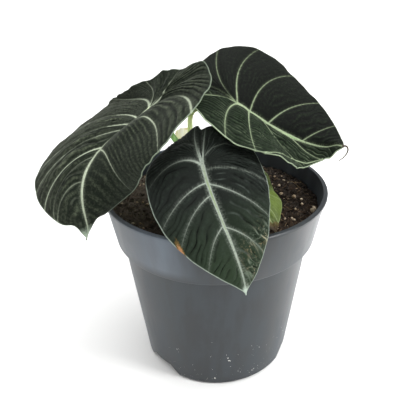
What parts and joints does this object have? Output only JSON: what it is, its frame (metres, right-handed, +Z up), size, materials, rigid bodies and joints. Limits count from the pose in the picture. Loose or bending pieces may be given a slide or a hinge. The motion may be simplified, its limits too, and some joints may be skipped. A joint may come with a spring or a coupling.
{
  "type": "potted jewel alocasia plant",
  "caption": "Young black-leaved jewel alocasia with pale ribs and a small new leaf, rooted in peat mix in a tapered plastic nursery pot",
  "frame": {"origin": "centre of the pot's underside, on the plane that it stands on", "axes": "+Z up along the pot's axis, -Y towards the front, where the front leaf hangs over the rim, +X to the right seen from the front"},
  "size_m": [0.1517, 0.1342, 0.1722],
  "materials": {
    "pot_plastic": "satin",
    "peat_mix": "matte",
    "dark_blade": "matte",
    "young_blade": "satin",
    "petiole": "satin",
    "stem": "matte",
    "sheath": "matte"
  },
  "bodies": {
    "root": {"pot": "pot_plastic", "soil": "peat_mix", "stem_base": "stem", "sheath": "sheath", "petiole_left": "petiole", "blade_left": "dark_blade", "petiole_right": "petiole", "blade_right": "dark_blade", "petiole_front": "petiole", "blade_front": "dark_blade", "petiole_small": "petiole", "blade_small": "young_blade"}
  },
  "joints": []
}
